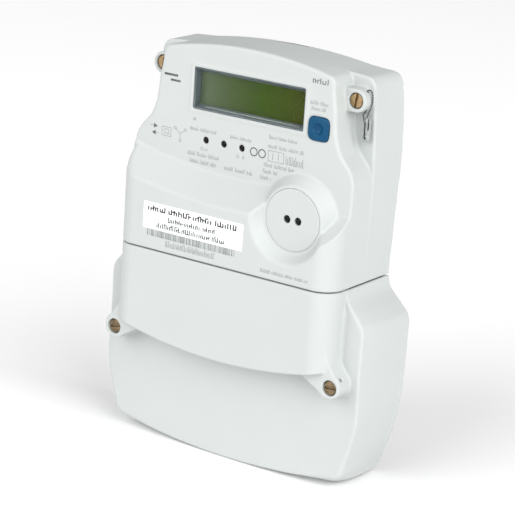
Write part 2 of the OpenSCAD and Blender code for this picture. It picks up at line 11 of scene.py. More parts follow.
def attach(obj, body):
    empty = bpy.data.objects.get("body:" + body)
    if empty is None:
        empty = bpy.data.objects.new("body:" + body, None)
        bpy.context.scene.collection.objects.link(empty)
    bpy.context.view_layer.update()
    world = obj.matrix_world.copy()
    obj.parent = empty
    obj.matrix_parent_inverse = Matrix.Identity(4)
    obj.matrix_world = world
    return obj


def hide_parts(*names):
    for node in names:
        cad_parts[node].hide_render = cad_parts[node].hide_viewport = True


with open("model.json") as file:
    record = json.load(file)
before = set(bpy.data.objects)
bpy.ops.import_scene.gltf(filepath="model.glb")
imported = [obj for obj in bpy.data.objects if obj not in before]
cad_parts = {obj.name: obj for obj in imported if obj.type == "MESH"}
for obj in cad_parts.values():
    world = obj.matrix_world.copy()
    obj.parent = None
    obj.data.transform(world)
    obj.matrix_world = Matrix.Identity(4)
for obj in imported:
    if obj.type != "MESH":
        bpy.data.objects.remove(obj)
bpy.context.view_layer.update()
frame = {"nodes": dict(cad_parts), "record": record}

# Lengths are millimetres in the row's frame unless a name says otherwise. A depth is a
# distance out of the wall, along -Y.
MM = 0.001
random.seed(7)

FACE, PORT, PANEL, SKIRT, SHOULDER = 56.3, 50.3, 42.3, 40.9, 25.3
WALL = 2.2
CASE_Z, COVER_Z = -31.1, -31.9  # the two edges of the parting line
PORT_X, EYE_X = 38.5, 3.25  # the port, and each eye from its middle
LAMP_X, LAMP_PITCH, LAMP_Z = -22.5, 11.2, 28.2
BUTTON_X, BUTTON_Z = 44.9, 46.3
WINDOW = (2.0, 54.2)
SEAL_X, SEAL_D = 62.4, 28
# The sealing screws: place, seat depth, and the radius of the boss or lug round them.
CASE_SCREW_X, CASE_SCREW_Z, CASE_SEAT = 59.0, 61.6, 29.4
COVER_SCREW_X, COVER_SCREW_Z, COVER_SEAT = 68.2, -80.4, 47.6
BOSS_R = 5.9


# ---------------------------------------------------------------- distance fields

def soft_max(a, b, r):
    """Intersection of two distance fields with a round edge of radius r."""
    return np.minimum(np.maximum(a, b), -r) + np.hypot(np.maximum(a + r, 0), np.maximum(b + r, 0))


def soft_min(a, b, r):
    """Union of two distance fields with a round inner corner of radius r."""
    return -soft_max(-a, -b, r)


def smooth_line(points, steps=6):
    """A Catmull-Rom curve through the points."""
    p = [points[0]] + list(points) + [points[-1]]
    out = []
    for i in range(1, len(p) - 2):
        a, b, c, d = (np.array(q, float) for q in p[i - 1:i + 3])
        for s in range(steps):
            t = s / steps
            out.append(0.5 * (2 * b + (c - a) * t + (2 * a - 5 * b + 4 * c - d) * t ** 2
                              + (3 * b - a - 3 * c + d) * t ** 3))
    out.append(np.array(points[-1], float))
    return out


def arc(centre, r, start, end, steps=8):
    """Points of a circle from one angle to another, in degrees."""
    return [np.array((centre[0] + r * math.cos(math.radians(start + (end - start) * i / steps)),
                      centre[1] + r * math.sin(math.radians(start + (end - start) * i / steps))))
            for i in range(steps + 1)]


def arch(top, r, start, steps=14):
    """The top edge of a large circle, from x = start to the middle."""
    xs = [start * (1 - i / steps) for i in range(steps + 1)]
    return [np.array((x, top - (r - math.sqrt(r * r - x * x)))) for x in xs]


def both_sides(half):
    """A closed outline from its right half."""
    return half + [np.array((-p[0], p[1])) for p in reversed(half)]


def outline_distance(points, a, b):
    """Signed distance from every point of the grid a x b to a closed outline."""
    A, B = np.meshgrid(a, b, indexing="ij")
    best = np.full(A.shape, 1e9)
    odd = np.zeros(A.shape, bool)
    for (x0, y0), (x1, y1) in zip(points, points[1:] + points[:1]):
        dx, dy = x1 - x0, y1 - y0
        length = dx * dx + dy * dy
        if length < 1e-9:
            continue
        t = np.clip(((A - x0) * dx + (B - y0) * dy) / length, 0, 1)
        best = np.minimum(best, (A - x0 - t * dx) ** 2 + (B - y0 - t * dy) ** 2)
        if abs(dy) > 1e-9:
            odd ^= ((y0 > B) != (y1 > B)) & (A < dx * (B - y0) / dy + x0)
    return np.where(odd, -1.0, 1.0) * np.sqrt(best)


def box_distance(U, V, u, v, w, h, r=0.0):
    """Signed distance in a plane to a rectangle with round corners."""
    qu, qv = np.abs(U - u) - (w / 2 - r), np.abs(V - v) - (h / 2 - r)
    return np.hypot(np.maximum(qu, 0), np.maximum(qv, 0)) + np.minimum(np.maximum(qu, qv), 0) - r


def squircle(U, V, half, power=4.4):
    """Roughly the distance to a square whose sides bulge and whose corners are round."""
    return ((np.abs(U / half) ** power + np.abs(V / half) ** power) ** (1 / power) - 1) * half


def lines(*spans):
    """Grid lines: each span is (start, end, spacing), joined end to end."""
    out = []
    for start, end, step in spans:
        n = max(1, round((end - start) / step))
        out.append(start + (end - start) * np.arange(n) / n)
    return np.append(np.concatenate(out), spans[-1][1])


def surface_net(field, xs, ys, zs):
    """Vertices and outward quads of the surface where the field is zero."""
    shape = np.array(field.shape) - 1
    inside = field < 0
    axes = (xs, ys, zs)
    ids, pts, quads = [], [], []
    for ax in range(3):
        lo = [slice(None)] * 3
        hi = [slice(None)] * 3
        lo[ax], hi[ax] = slice(0, -1), slice(1, None)
        a, b = inside[tuple(lo)], inside[tuple(hi)]
        at = np.argwhere(a != b)
        i = at.copy()
        j = at.copy()
        j[:, ax] += 1
        fa, fb = field[tuple(i.T)], field[tuple(j.T)]
        t = fa / (fa - fb)
        p = np.stack([axes[k][i[:, k]] for k in range(3)], 1).astype(float)
        p[:, ax] += t * (axes[ax][j[:, ax]] - axes[ax][i[:, ax]])
        u, v = (ax + 1) % 3, (ax + 2) % 3
        ring = []
        keep = (i[:, u] > 0) & (i[:, v] > 0) & (i[:, u] < shape[u]) & (i[:, v] < shape[v])
        i, p, out = i[keep], p[keep], a[tuple(i[keep].T)]
        for du, dv in ((-1, -1), (0, -1), (0, 0), (-1, 0)):
            c = i.copy()
            c[:, u] += du
            c[:, v] += dv
            cell = (c[:, 0] * shape[1] + c[:, 1]) * shape[2] + c[:, 2]
            ring.append(cell)
            ids.append(cell)
            pts.append(p)
        ring = np.stack(ring, 1)
        ring[~out] = ring[~out][:, ::-1]
        quads.append(ring)
    ids, pts, quads = np.concatenate(ids), np.concatenate(pts), np.concatenate(quads)
    cells, inverse = np.unique(ids, return_inverse=True)
    count = np.bincount(inverse)
    verts = np.stack([np.bincount(inverse, pts[:, k]) / count for k in range(3)], 1)
    faces = np.searchsorted(cells, quads)
    cell = np.stack(np.unravel_index(cells, shape), 1)
    for _ in range(2):
        verts = to_surface(verts, cell, field, axes)
    return verts, faces


def to_surface(verts, cell, field, axes):
    """Moves each vertex onto the field's zero level, inside its own cell."""
    low = np.stack([axes[k][cell[:, k]] for k in range(3)], 1)
    size = np.stack([axes[k][cell[:, k] + 1] for k in range(3)], 1) - low
    t = np.clip((verts - low) / size, 0, 1)
    corner = [[[field[cell[:, 0] + a, cell[:, 1] + b, cell[:, 2] + c] for c in (0, 1)]
               for b in (0, 1)] for a in (0, 1)]
    w = [(1 - t[:, k], t[:, k]) for k in range(3)]
    value = 0
    slope = [0, 0, 0]
    for a in (0, 1):
        for b in (0, 1):
            for c in (0, 1):
                f = corner[a][b][c]
                value = value + f * w[0][a] * w[1][b] * w[2][c]
                slope[0] = slope[0] + f * (1, -1)[1 - a] * w[1][b] * w[2][c] / size[:, 0]
                slope[1] = slope[1] + f * (1, -1)[1 - b] * w[0][a] * w[2][c] / size[:, 1]
                slope[2] = slope[2] + f * (1, -1)[1 - c] * w[0][a] * w[1][b] / size[:, 2]
    g = np.stack(slope, 1)
    step = -(value / np.maximum((g ** 2).sum(1), 0.05))[:, None] * g
    return low + np.clip((verts + step - low) / size, 0, 1) * size


# ---------------------------------------------------------------- mesh helpers

def make_mesh(name, verts, faces, material, body="meter", smooth=True, sharp=None):
    """A mesh object from arrays in millimetres; faces all have the same number of sides."""
    faces = np.asarray(faces, np.int32)
    mesh = bpy.data.meshes.new(name)
    mesh.vertices.add(len(verts))
    mesh.vertices.foreach_set("co", (np.asarray(verts, float) * MM).ravel())
    sides = faces.shape[1]
    mesh.loops.add(faces.size)
    mesh.loops.foreach_set("vertex_index", faces.ravel())
    mesh.polygons.add(len(faces))
    mesh.polygons.foreach_set("loop_start", np.arange(0, faces.size, sides, dtype=np.int32))
    mesh.update(calc_edges=True)
    mesh.validate()
    if smooth:
        mesh.shade_smooth()
    ob = bpy.data.objects.new(name, mesh)
    bpy.context.scene.collection.objects.link(ob)
    mesh.materials.append(material)
    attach(ob, body)
    if sharp:
        mesh.set_sharp_from_angle(angle=math.radians(sharp))
    return ob


def net_piece(name, field, xs, ds, zs, material, body="meter", **kw):
    """A piece from a field given on x, depth and z grids."""
    verts, faces = surface_net(field[:, ::-1, :], xs, -ds[::-1], zs)
    return make_mesh(name, verts, faces, material, body, **kw)


def boxes(name, items, material):
    """Many small bars in one piece: each item is ((x0, x1), (d0, d1), (z0, z1))."""
    verts, faces = [], []
    for (x0, x1), (d0, d1), (z0, z1) in items:
        n = len(verts)
        verts += [(x, -d, z) for x in (x0, x1) for d in (d0, d1) for z in (z0, z1)]
        faces += [[n + k for k in q] for q in
                  ((0, 4, 6, 2), (1, 3, 7, 5), (0, 2, 3, 1), (4, 5, 7, 6), (0, 1, 5, 4), (2, 6, 7, 3))]
    faces = [list(reversed(f)) for f in faces]
    return make_mesh(name, verts, faces, material, smooth=False)


def ring_plate(cx, cz, r0, r1, d0, d1, sides=40):
    """Quads of a flat ring between two depths, for a printed line."""
    verts, faces = [], []
    for i in range(sides):
        a = math.radians(360 * i / sides)
        for r in (r0, r1):
            for d in (d0, d1):
                verts.append((cx + r * math.cos(a), -d, cz + r * math.sin(a)))
    for i in range(sides):
        a, b = 4 * i, 4 * ((i + 1) % sides)
        for p, q in ((0, 1), (1, 3), (3, 2), (2, 0)):
            faces.append([a + p, a + q, b + q, b + p])
    return verts, faces


def join_parts(name, parts, material, body="meter", merge=False, **kw):
    """One piece from several lists of vertices and faces; merge closes the poles of a lathe."""
    verts, faces = [], []
    for v, f in parts:
        n = len(verts)
        verts += list(v)
        faces += [[n + k for k in q] for q in f]
    ob = make_mesh(name, verts, faces, material, body, **kw)
    if merge:
        bm = bmesh.new()
        bm.from_mesh(ob.data)
        bmesh.ops.remove_doubles(bm, verts=bm.verts, dist=1e-7)
        bm.to_mesh(ob.data)
        bm.free()
    return ob


def lathe(profile, cx, cz, sides=48):
    """A solid turned about the depth axis at x, z: profile is a list of (radius, depth)."""
    verts, faces = [], []
    n = len(profile)
    for i in range(sides):
        a = 2 * math.pi * i / sides
        verts += [(cx + r * math.cos(a), -d, cz + r * math.sin(a)) for r, d in profile]
    for i in range(sides):
        a, b = i * n, ((i + 1) % sides) * n
        for k in range(n - 1):
            faces.append([a + k, b + k, b + k + 1, a + k + 1])
    return verts, faces


def tube(points, r, sides=12):
    """A round wire along the points, with flat ends."""
    p = [Vector(q) for q in points]
    verts, faces = [], []
    up = None
    for i, q in enumerate(p):
        d = (p[min(i + 1, len(p) - 1)] - p[max(i - 1, 0)]).normalized()
        if up is None:
            up = d.orthogonal().normalized()
        up = (up - d * up.dot(d)).normalized()
        side = d.cross(up)
        for k in range(sides):
            a = 2 * math.pi * k / sides
            verts.append(tuple(q + up * (r * math.cos(a)) + side * (r * math.sin(a))))
    for i in range(len(p) - 1):
        for k in range(sides):
            a, b = i * sides + k, i * sides + (k + 1) % sides
            faces.append([a, b, b + sides, a + sides])
    n = len(verts)
    verts += [tuple(p[0]), tuple(p[-1])]
    last = (len(p) - 1) * sides
    for k in range(0, sides, 2):
        a, b, c = k, (k + 1) % sides, (k + 2) % sides
        faces.append([n, c, b, a])
        faces.append([n + 1, last + a, last + b, last + c])
    return verts, faces


# ---------------------------------------------------------------- materials

def new_material(name):
    """A material with one principled shader, its nodes and its links."""
    m = bpy.data.materials.new(name)
    m.use_nodes = True
    m.node_tree.nodes.clear()
    out = m.node_tree.nodes.new("ShaderNodeOutputMaterial")
    shader = m.node_tree.nodes.new("ShaderNodeBsdfPrincipled")
    m.node_tree.links.new(shader.outputs["BSDF"], out.inputs["Surface"])
    return m, m.node_tree.nodes, m.node_tree.links, shader


RELIEF = 0.06 * MM


def surface(name, colour, roughness=0.45, metallic=0.0, vary=0.03, grain=350.0, bump=0.06,
            blotch=40.0, rough_vary=0.05, stretch=(1, 1, 1), specular=0.5, transmission=0.0, ior=1.45):
    """Colour from broad noise, roughness and relief from fine noise; scales are per metre."""
    m, nodes, links, shader = new_material(name)
    shader.inputs["Metallic"].default_value = metallic
    shader.inputs["Specular IOR Level"].default_value = specular
    shader.inputs["IOR"].default_value = ior
    shader.inputs["Transmission Weight"].default_value = transmission
    place = nodes.new("ShaderNodeTexCoord")
    scale = nodes.new("ShaderNodeMapping")
    scale.inputs["Scale"].default_value = stretch
    links.new(place.outputs["Object"], scale.inputs["Vector"])
    broad = nodes.new("ShaderNodeTexNoise")
    broad.inputs["Scale"].default_value = blotch
    broad.inputs["Detail"].default_value = 4
    fine = nodes.new("ShaderNodeTexNoise")
    fine.inputs["Scale"].default_value = grain
    fine.inputs["Detail"].default_value = 3
    links.new(scale.outputs["Vector"], broad.inputs["Vector"])
    links.new(scale.outputs["Vector"], fine.inputs["Vector"])
    ramp = nodes.new("ShaderNodeValToRGB")
    ramp.color_ramp.elements[0].position = 0.3
    ramp.color_ramp.elements[1].position = 0.7
    dark = tuple(max(0.0, c * (1 - vary)) for c in colour)
    light = tuple(min(1.0, c * (1 + vary)) for c in colour)
    ramp.color_ramp.elements[0].color = (*dark, 1)
    ramp.color_ramp.elements[1].color = (*light, 1)
    links.new(broad.outputs["Fac"], ramp.inputs["Fac"])
    links.new(ramp.outputs["Color"], shader.inputs["Base Color"])
    span = nodes.new("ShaderNodeMapRange")
    span.inputs["To Min"].default_value = max(0.02, roughness - rough_vary)
    span.inputs["To Max"].default_value = min(1.0, roughness + rough_vary)
    links.new(fine.outputs["Fac"], span.inputs["Value"])
    links.new(span.outputs["Result"], shader.inputs["Roughness"])
    relief = nodes.new("ShaderNodeBump")
    relief.inputs["Strength"].default_value = bump
    relief.inputs["Distance"].default_value = RELIEF
    links.new(fine.outputs["Fac"], relief.inputs["Height"])
    links.new(relief.outputs["Normal"], shader.inputs["Normal"])
    return m


SHELL = (0.476, 0.499, 0.489)
mat = {
    "case_plastic": surface("case_plastic", SHELL, 0.58, vary=0.008, grain=2600, bump=0.10, specular=0.3),
    "cover_plastic": surface("cover_plastic", SHELL, 0.58, vary=0.008, grain=2600, bump=0.10, specular=0.3),
    "base_plastic": surface("base_plastic", (0.42, 0.44, 0.43), 0.55, vary=0.03, grain=1800, bump=0.2),
    "block_plastic": surface("block_plastic", (0.36, 0.37, 0.36), 0.5, vary=0.03, grain=1800, bump=0.2),
    "seal_rubber": surface("seal_rubber", (0.015, 0.015, 0.015), 0.75, vary=0.2, grain=2500, bump=0.4),
    "clear_window": surface("clear_window", (0.95, 0.97, 0.97), 0.06, vary=0.004, grain=300, bump=0.01,
                            rough_vary=0.02, transmission=1.0, ior=1.12),
    "bezel_plastic": surface("bezel_plastic", (0.165, 0.19, 0.205), 0.42, vary=0.05, grain=2400, bump=0.08),
    "diffuser_plastic": surface("diffuser_plastic", (0.7, 0.72, 0.66), 0.25, vary=0.03, grain=500, bump=0.05),
    "contact_rubber": surface("contact_rubber", (0.5, 0.16, 0.2), 0.6, vary=0.3, grain=900, blotch=1800,
                              stretch=(1, 0.05, 0.05)),
    "board_laminate": surface("board_laminate", (0.01, 0.10, 0.035), 0.3, vary=0.15, grain=1500, blotch=300,
                              bump=0.15),
    "chip_plastic": surface("chip_plastic", (0.02, 0.02, 0.021), 0.5, vary=0.1, grain=3000, bump=0.2),
    "capacitor_plastic": surface("capacitor_plastic", (0.62, 0.36, 0.03), 0.3, vary=0.05, grain=1200),
    "capacitor_can": surface("capacitor_can", (0.02, 0.025, 0.09), 0.28, vary=0.1, grain=900),
    "absorber_epoxy": surface("absorber_epoxy", (0.02, 0.07, 0.3), 0.25, vary=0.1, grain=700, bump=0.3),
    "switch_plastic": surface("switch_plastic", (0.03, 0.03, 0.03), 0.45, vary=0.1, grain=2500),
    "button_plastic": surface("button_plastic", (0.002, 0.055, 0.128), 0.34, vary=0.05, grain=2600, bump=0.08,
                              specular=0.22),
    "lamp_resin": surface("lamp_resin", (0.004, 0.004, 0.005), 0.2, vary=0.2, grain=900, bump=0.02, specular=0.15),
    "port_plastic": surface("port_plastic", SHELL, 0.48, vary=0.008, grain=2600, bump=0.08, specular=0.35),
    "port_steel": surface("port_steel", (0.5, 0.5, 0.49), 0.35, metallic=1, vary=0.05, grain=900,
                          stretch=(1, 1, 12)),
    "eye_resin": surface("eye_resin", (0.005, 0.006, 0.006), 0.12, vary=0.2, grain=900, bump=0.02, specular=0.15),
    "sensor_plastic": surface("sensor_plastic", (0.01, 0.02, 0.08), 0.35, vary=0.1, grain=1200),
    "terminal_brass": surface("terminal_brass", (0.62, 0.40, 0.20), 0.38, metallic=1, vary=0.1, grain=1500,
                              bump=0.2),
    "contact_gold": surface("contact_gold", (0.75, 0.55, 0.22), 0.25, metallic=1, vary=0.06, grain=1500),
    "zinc_steel": surface("zinc_steel", (0.5, 0.5, 0.48), 0.38, metallic=1, vary=0.08, grain=1800, bump=0.15),
    "screw_brass": surface("screw_brass", (0.36, 0.25, 0.13), 0.42, metallic=0.85, vary=0.3, grain=2200,
                           blotch=500, bump=0.3, rough_vary=0.12),
    # The cover screws' brass is darker: partly their own duller tone, partly painted shade standing in for the
    # shadow in the gap round each head.
    "screw_dull_and_shaded": surface("screw_dull_and_shaded", (0.21, 0.155, 0.09), 0.42, metallic=0.85, vary=0.35, grain=2200,
                          blotch=500, bump=0.3, rough_vary=0.12),
    "insert_brass": surface("insert_brass", (0.6, 0.4, 0.18), 0.4, metallic=1, vary=0.1, grain=2500, bump=0.4),
    "sticker_paper": surface("sticker_paper", (0.84, 0.86, 0.87), 0.38, vary=0.006, grain=1500, bump=0.03),
    "wire_steel": surface("wire_steel", (0.17, 0.175, 0.175), 0.25, metallic=1, vary=0.15, grain=2500, blotch=900),
    "wire_dark": surface("wire_dark", (0.035, 0.037, 0.037), 0.35, metallic=0.6, vary=0.2, grain=2500, blotch=900),
    "crimp_plastic": surface("crimp_plastic", (0.52, 0.55, 0.55), 0.12, vary=0.01, grain=600, bump=0.05,
                             transmission=0.45, ior=1.35),
    "hanger_steel": surface("hanger_steel", (0.5, 0.5, 0.5), 0.35, metallic=1, vary=0.05, grain=1200,
                            stretch=(12, 1, 1)),
    "print_grey": surface("print_grey", (0.10, 0.107, 0.107), 0.5, vary=0.05, grain=2500),
    "print_light": surface("print_light", (0.23, 0.241, 0.237), 0.5, vary=0.05, grain=2500),
    "print_black": surface("print_black", (0.018, 0.018, 0.02), 0.4, vary=0.1, grain=2500),
}


def display_material():
    """Unpowered liquid crystal glass: a slow change of olive across it, with fine noise in its tone and roughness.
    """
    m, nodes, links, shader = new_material("display_glass")
    shader.inputs["Specular IOR Level"].default_value = 0.12
    place = nodes.new("ShaderNodeTexCoord")
    split = nodes.new("ShaderNodeSeparateXYZ")
    links.new(place.outputs["Object"], split.inputs["Vector"])
    across = nodes.new("ShaderNodeMapRange")
    across.inputs["From Min"].default_value = -30 * MM
    across.inputs["From Max"].default_value = 34 * MM
    links.new(split.outputs["X"], across.inputs["Value"])
    ramp = nodes.new("ShaderNodeValToRGB")
    stops = ((0.0, (0.112, 0.146, 0.085)), (0.3, (0.066, 0.098, 0.030)),
             (0.6, (0.040, 0.076, 0.004)), (1.0, (0.052, 0.064, 0.002)))
    ramp.color_ramp.elements[0].position = stops[0][0]
    ramp.color_ramp.elements[0].color = (*stops[0][1], 1)
    ramp.color_ramp.elements[1].position = stops[-1][0]
    ramp.color_ramp.elements[1].color = (*stops[-1][1], 1)
    for at, colour in stops[1:-1]:
        e = ramp.color_ramp.elements.new(at)
        e.color = (*colour, 1)
    links.new(across.outputs["Result"], ramp.inputs["Fac"])
    noise = nodes.new("ShaderNodeTexNoise")
    noise.inputs["Scale"].default_value = 120
    links.new(place.outputs["Object"], noise.inputs["Vector"])
    tone = nodes.new("ShaderNodeMapRange")
    tone.inputs["To Min"].default_value = 0.9
    tone.inputs["To Max"].default_value = 1.1
    links.new(noise.outputs["Fac"], tone.inputs["Value"])
    mix = nodes.new("ShaderNodeVectorMath")
    mix.operation = "SCALE"
    links.new(ramp.outputs["Color"], mix.inputs[0])
    links.new(tone.outputs["Result"], mix.inputs["Scale"])
    links.new(mix.outputs["Vector"], shader.inputs["Base Color"])
    rough = nodes.new("ShaderNodeMapRange")
    rough.inputs["To Min"].default_value = 0.14
    rough.inputs["To Max"].default_value = 0.26
    links.new(noise.outputs["Fac"], rough.inputs["Value"])
    links.new(rough.outputs["Result"], shader.inputs["Roughness"])
    return m


mat["display_glass"] = display_material()

slot_of = {s["node"]: s["material_slot"] for s in frame["record"]["subparts"]}
for node, ob in frame["nodes"].items():
    if not ob.material_slots:
        ob.data.materials.append(mat[slot_of[node]])
    for s in ob.material_slots:
        s.material = mat[slot_of[node]]


def stands_for(piece, node, *more):
    """Hides the CAD nodes that the piece takes the place of; the piece itself is not read."""
    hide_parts(node, *more)


# ---------------------------------------------------------------- outlines

def case_outline(sides, corner, top, r):
    """The case's outline: sides are its half widths, going up."""
    return both_sides(smooth_line([(sides[0], -60)] + list(zip(sides, (-31, 5, 26, 46, 60, 66))))[:-1]
                      + arc(corner, 6.1, 0, 82) + arch(top, r, 48))


def upper_outline(low, top, r):
    """The front's outline, which narrows from the lower face to the panel."""
    return both_sides(
        [np.array((low[0], -60))]
        + smooth_line([(low[0], -31), (low[1], 5), (low[2], 21), (66.3, 25.3), (64.5, 28.8), (61.7, 32.1),
                       (58.6, 35.8), (56.5, 40.4), (55.1, 45.5), (54.0, 56), (52.2, 67)])[:-1]
        + arc((47.6, 69.2), 4.6, 5, 80) + arch(top, r, 43))


# The case's outline at the wall and at the shoulder, the panel's at the shoulder and in front.
CASE_BACK = case_outline((67.4, 68.3, 69.0, 68.5, 67.4, 66.3), (60.2, 66.9), 77.4, 320)
CASE_FRONT = case_outline((67.4, 67.9, 68.0, 66.9, 65.7, 65.2), (59.1, 67.0), 77.9, 300)
UPPER_BACK = upper_outline((67.4, 67.6, 67.4), 78.4, 290)
UPPER_FRONT = upper_outline((67.3, 67.3, 67.2), 79.1, 220)


# The flare below the parting line: a height, and the part of the way out that the side has come.
FLARE = ((-33, 0.03), (-35.5, 0.07), (-38.3, 0.17), (-41, 0.35), (-43.5, 0.54), (-46.1, 0.72), (-48.8, 0.9),
         (-51.6, 0.98), (-55, 1.0), (-63, 1.0), (-72, 1.0))


def skirt(w, steps, corner, corner_r, bottom_r):
    """The skirt's outline: steps are how far the side has come in at a height."""
    side = [(67.5 + (w - steps[0][0] - 67.5) * part, z) for z, part in FLARE]
    side += [(w - step, z) for step, z in steps[1:]]
    return both_sides(
        [np.array((67.5, 10))] + smooth_line([(67.5, -31)] + side, 4)
        + arc((w - corner[0], corner[1]), corner_r, -15, -78, 6)
        + [np.array((p[0], -p[1])) for p in arch(139, bottom_r, 50)])


SKIRT_BACK = skirt(81.94, ((0, -72), (0.6, -92), (2.4, -106), (4.9, -117), (8.5, -127), (10.4, -132)),
                   (15.7, -134.4), 4.3, 1500)
SKIRT_FRONT = skirt(80, ((1.1, -72), (0.8, -86), (0.5, -94), (0.7, -101), (1.6, -107), (2.7, -112), (4.0, -117),
                         (6.2, -125.5)), (12.9, -126.7), 6.3, 365)


# ---------------------------------------------------------------- case cover

def face_plan(X, D):
    """The plan of the lower face, with its two round front edges."""
    return box_distance(X, D, 0.0, 0.0, 2 * 67.3, 2 * FACE, 11.8)


def case_field(xs, ds, zs):
    """The case cover as a shell with its ledge, bosses, port foot and openings."""
    X, D, Z = xs[:, None, None], ds[None, :, None], zs[None, None, :]
    case_back, case_front, upper_back, upper_front = (
        outline_distance(line, xs, zs)[:, None, :] for line in (CASE_BACK, CASE_FRONT, UPPER_BACK, UPPER_FRONT))
    t = D / SHOULDER
    around = case_back * (1 - t) + case_front * t
    rear = soft_max(around, D - SHOULDER, 1.2)

    # The panel and the lower face as heights, limited by the outline at the sides.
    r = 263.5 + 0.8857 * (D - PANEL)
    ramp = np.where(X > PORT_X, r - np.hypot(X, Z - 261.0), r - np.hypot(X, Z - 275.4)) * 0.7486
    block = soft_max(D - FACE, ramp, 0.8)
    rho = np.hypot(X - PORT_X, Z)
    recess = np.minimum((17.3 + 0.7167 * (D - PORT) - rho) * 0.813, D - PORT)
    block = soft_max(block, recess, 0.9)
    foot = soft_max((rho - 17.3 - 0.6125 * (PORT - D)) * 0.853, D - PORT, 0.9)
    rim = 0.22 * np.clip((0.5 - box_distance(X, Z, *WINDOW, 71.7, 25.7, 1.0)) / 0.9, 0, 1)
    height = soft_min(soft_min(D - PANEL - rim, block, 0.6), foot, 0.8)
    t = (D - SHOULDER) / (PANEL - SHOULDER)
    edge = 1.0 + 0.7 * np.clip((Z - 22) / 12, 0, 1)
    front = soft_max(height, upper_back * (1 - t) + upper_front * t, edge)
    ease = 4.0 * np.clip((Z - 4) / 5, 0.01, 1) * np.clip((-40 - X) / 10, 0.1, 1)
    front = np.where(D > 43, soft_max(front, face_plan(X, D), ease), front)
    front = np.where(D < SHOULDER, np.maximum(front, around), front)
    inner = 0.9 * np.clip((Z - 26) / 4, 0.02, 1) * np.clip((np.abs(X) - 49) / 3, 0.02, 1)
    body = soft_min(rear, front, inner)

    # Sealing bosses, with a web to the panel's side wall.
    tall = Z - CASE_SCREW_Z
    boss = soft_max(np.hypot(np.maximum(np.abs(X) - CASE_SCREW_X, 0), tall) - BOSS_R, D - 33.0, 0.6)
    body = soft_min(body, boss, 0.6)

    shell = np.maximum(body, -(body + WALL))
    ledge = np.maximum(np.maximum(body, -(body + 2 * WALL)), np.abs(D - 5.1) - 0.9)
    floor = np.maximum(np.maximum(body, 34 - D), Z - (CASE_Z + WALL))
    around_screw = np.hypot(np.abs(X) - CASE_SCREW_X, tall)
    core = np.maximum(np.maximum(around_screw - 5.8, body), 23.1 - D)
    plug = np.maximum(np.maximum(rho - 19.5, body), 45.1 - D)
    for part in (ledge, floor, core, plug):
        shell = np.minimum(shell, part)

    def cut(shape, start, radius):
        return soft_max(shell, np.minimum(-shape, D - start), radius)

    shell = cut(box_distance(X, Z, *WINDOW, 67.7, 21.7, 0.8), 36, 0.35)
    for k in range(3):
        shell = cut(np.hypot(X - LAMP_X - LAMP_PITCH * k, Z - LAMP_Z) - 1.8, 36, 0.2)
    shell = cut(squircle(X - BUTTON_X, Z - BUTTON_Z, 6.14), 36, 0.12)
    shell = cut(rho - 15.95, PORT - 3.2, 0.25)
    for k in (-1, 1):
        shell = cut(np.hypot(X - PORT_X - k * EYE_X, Z) - 2.7, 30, 0.1)
    shell = cut(around_screw - 4.1, CASE_SEAT, 0.3)
    shell = cut(around_screw - 2.15, 10, 0.1)
    shell = np.maximum(shell, np.minimum(0.6 - np.hypot(np.abs(X) - SEAL_X, D - SEAL_D), Z - 50))
    shell = np.maximum(shell, np.minimum(np.minimum(10.4 - np.abs(X), 3.0 - D), Z - 68))
    shell = soft_max(shell, CASE_Z - Z, 0.3)
    return np.maximum(shell, 0.3 - D)


xs = lines((-69.8, -64, 0.55), (-64, -61.2, 0.3), (-61.2, 61.2, 0.6), (61.2, 64, 0.3), (64, 69.8, 0.55))
ds = lines((-0.5, 6.5, 0.5), (6.5, 22.5, 1.6), (22.5, 26.2, 0.46), (26.2, 28.6, 0.3), (28.6, 36, 0.62),
           (36, 57.3, 0.5))
zs = lines((-32.2, 80.2, 0.6))
case = net_piece("case_cover_shell", case_field(xs, ds, zs), xs, ds, zs, mat["case_plastic"])
stands_for(case, "case_cover")


# ---------------------------------------------------------------- terminal cover

